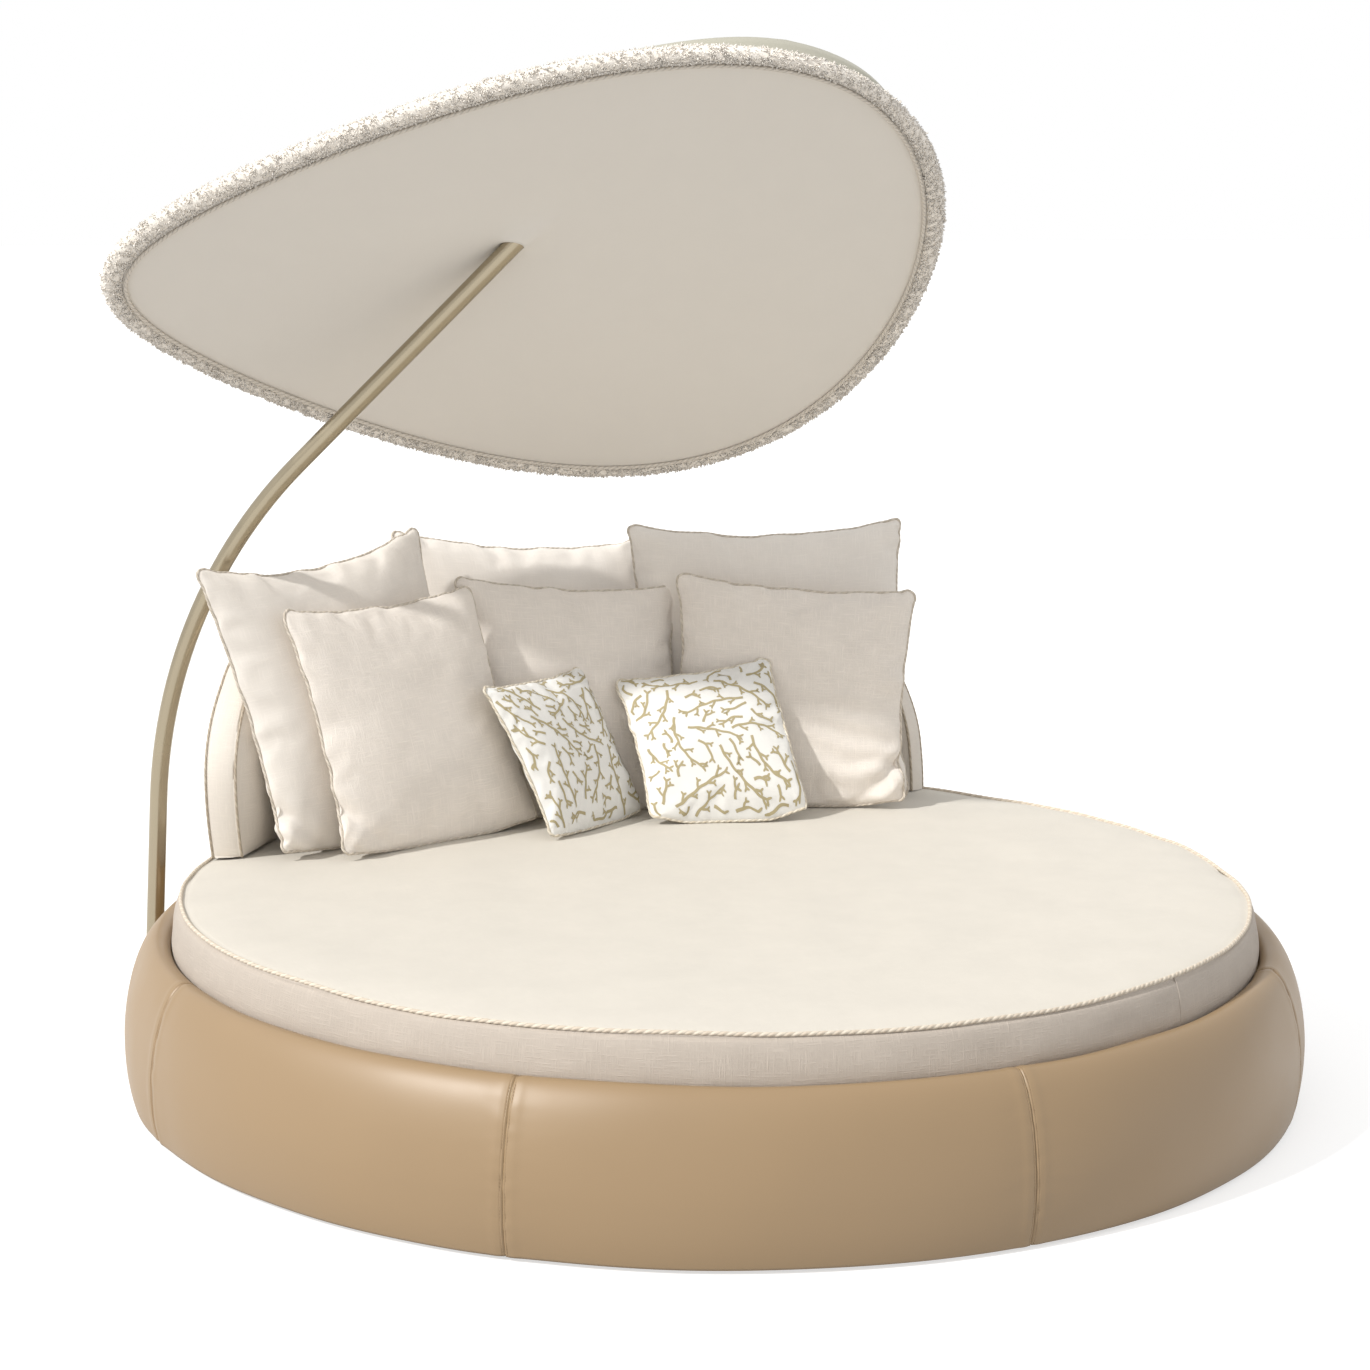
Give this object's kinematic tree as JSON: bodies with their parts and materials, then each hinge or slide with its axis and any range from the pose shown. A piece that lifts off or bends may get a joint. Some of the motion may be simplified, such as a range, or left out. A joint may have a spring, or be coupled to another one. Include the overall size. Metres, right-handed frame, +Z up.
{
  "type": "round outdoor daybed with sun canopy",
  "caption": "Round daybed with an upholstered leather ring base, a round mattress, a curved backrest, loose pillows and a leaf-shaped sun canopy on a bent swivelling mast.",
  "frame": {"origin": "on the floor at the centre of the ring base, on the underside of the foot below the centre post", "axes": "+Z up, +Y from the centre towards the backrest, +X to the right seen from the front"},
  "size_m": [2.402, 2.402, 2.0773],
  "materials": {
    "leather": "smooth tan leather, satin",
    "mattress_linen": "brushed cream linen",
    "backrest_linen": "greige woven linen",
    "back_pillow_linen": "greige linen",
    "pillow_linen": "pale linen",
    "print_linen": "white linen with a beige branching print",
    "piping": "twisted cord piping",
    "foam": "open foam",
    "plywood": "raw plywood",
    "frame_steel": "powder coated steel",
    "bright_steel": "zinc plated",
    "rubber": "matte",
    "white_plastic": "matte",
    "knob_plastic": "matte",
    "cast_metal": "satin",
    "mast_metal": "champagne anodised, satin",
    "inner_metal": "mill finish",
    "rim_metal": "mill finish",
    "rib_metal": "mill finish",
    "canopy_cloth": "grey-green canvas",
    "lining_cloth": "smooth taupe lining",
    "fringe_pile": "short fluffy pile",
    "welt": "pale piping"
  },
  "bodies": {
    "base": {"floor_glides": "rubber", "centre_foot": "rubber", "lower_hoop": "frame_steel", "upper_hoop": "frame_steel", "hoop_posts": "frame_steel", "deck_beams": "frame_steel", "centre_post": "frame_steel", "deck_left": "plywood", "deck_right": "plywood", "rim_wall": "plywood", "rim_foam": "foam", "leather_panel_1": "leather", "leather_panel_2": "leather", "leather_panel_3": "leather", "leather_panel_4": "leather", "leather_panel_5": "leather", "leather_panel_6": "leather", "leather_panel_7": "leather", "leather_panel_8": "leather", "mattress_core": "foam", "mattress_cover": "mattress_linen", "mattress_piping_top": "piping", "mattress_piping_low": "piping", "backrest": "backrest_linen", "pillow_1": "back_pillow_linen", "pillow_2": "back_pillow_linen", "pillow_3": "back_pillow_linen", "pillow_4": "pillow_linen", "pillow_5": "pillow_linen", "pillow_6": "pillow_linen", "pillow_7": "print_linen", "pillow_8": "print_linen", "foot_plate": "frame_steel", "plate_pads": "rubber", "plate_screws": "bright_steel", "mast_socket": "frame_steel", "thrust_pad": "white_plastic", "bush_low": "white_plastic", "bush_high": "white_plastic", "clamp_collar": "cast_metal"},
    "canopy_mast": {"mast_lower": "mast_metal", "mast_upper": "mast_metal", "mast_spigot": "inner_metal", "canopy_hub": "cast_metal", "canopy_rim": "rim_metal", "canopy_rib_1": "rib_metal", "canopy_rib_2": "rib_metal", "canopy_rib_3": "rib_metal", "canopy_rib_4": "rib_metal", "canopy_rib_5": "rib_metal", "canopy_rib_6": "rib_metal", "canopy_skin": "canopy_cloth", "canopy_lining": "lining_cloth", "canopy_fringe": "fringe_pile", "canopy_welt": "welt"},
    "clamp_knob": {"clamp_knob": "knob_plastic"}
  },
  "joints": [
    {"name": "mast_swivel", "type": "hinge", "parent": "base", "child": "canopy_mast", "pos_m": [-0.94149, 0.83737, 0], "axis": [0.0378, -0.0336, 0.9987], "continuous": true},
    {"name": "clamp_knob_turn", "type": "hinge", "parent": "base", "child": "clamp_knob", "pos_m": [-0.93787, 0.83414, 0.09588], "axis": [0.3693, 0.9292, 0.0173], "range_deg": [0, 360]}
  ]
}
